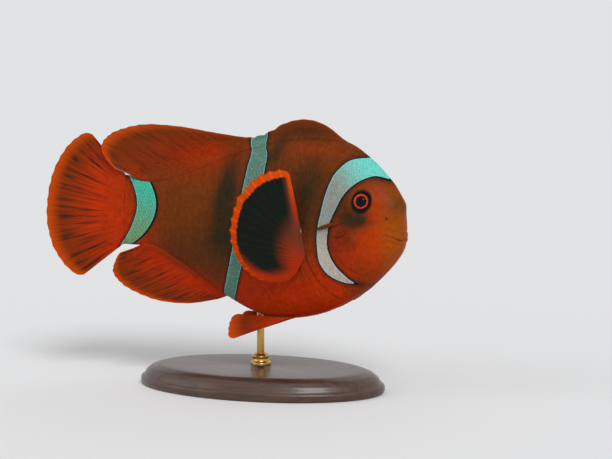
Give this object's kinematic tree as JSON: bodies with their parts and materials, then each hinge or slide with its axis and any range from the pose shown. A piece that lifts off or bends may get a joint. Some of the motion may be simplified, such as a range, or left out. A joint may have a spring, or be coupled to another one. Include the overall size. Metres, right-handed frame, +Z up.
{
  "type": "clownfish model",
  "caption": "Life-size still model of a spine-cheeked clownfish swimming in a gentle turn, held over a flat oval base by a short rod.",
  "frame": {"origin": "centre of the stand base's underside, on the floor under the rod", "axes": "+X the way the fish swims at the rod, +Y to the fish's left, +Z up"},
  "size_m": [0.1258, 0.0507, 0.088],
  "materials": {
    "skin": "maroon-red scaled skin with three pale blue-grey bars edged in black, satin wet sheen",
    "fin": "orange-red rayed fin, darker between the rays",
    "pectoral_fin": "black fan with a red root and a bright orange scalloped margin",
    "eye": "black pupil in a thin red-orange ring, wet and glossy",
    "cheek_spine": "reddish-brown horn",
    "stand_wood": "dark stained wood, satin varnish",
    "stand_brass": "brushed brass"
  },
  "bodies": {
    "root": {"head": "skin", "lower_jaw": "skin", "gill_cover_left": "skin", "gill_cover_right": "skin", "trunk": "skin", "tail_base": "skin", "dorsal_fin_spiny": "fin", "dorsal_fin_soft": "fin", "anal_fin": "fin", "tail_fin": "fin", "pelvic_fin_left": "fin", "pelvic_fin_right": "fin", "pectoral_fin_left": "pectoral_fin", "pectoral_fin_right": "pectoral_fin", "eye_left": "eye", "eye_right": "eye", "cheek_spines_left": "cheek_spine", "cheek_spines_right": "cheek_spine", "stand_base": "stand_wood", "stand_rod": "stand_brass", "stand_collar": "stand_brass"}
  },
  "joints": []
}
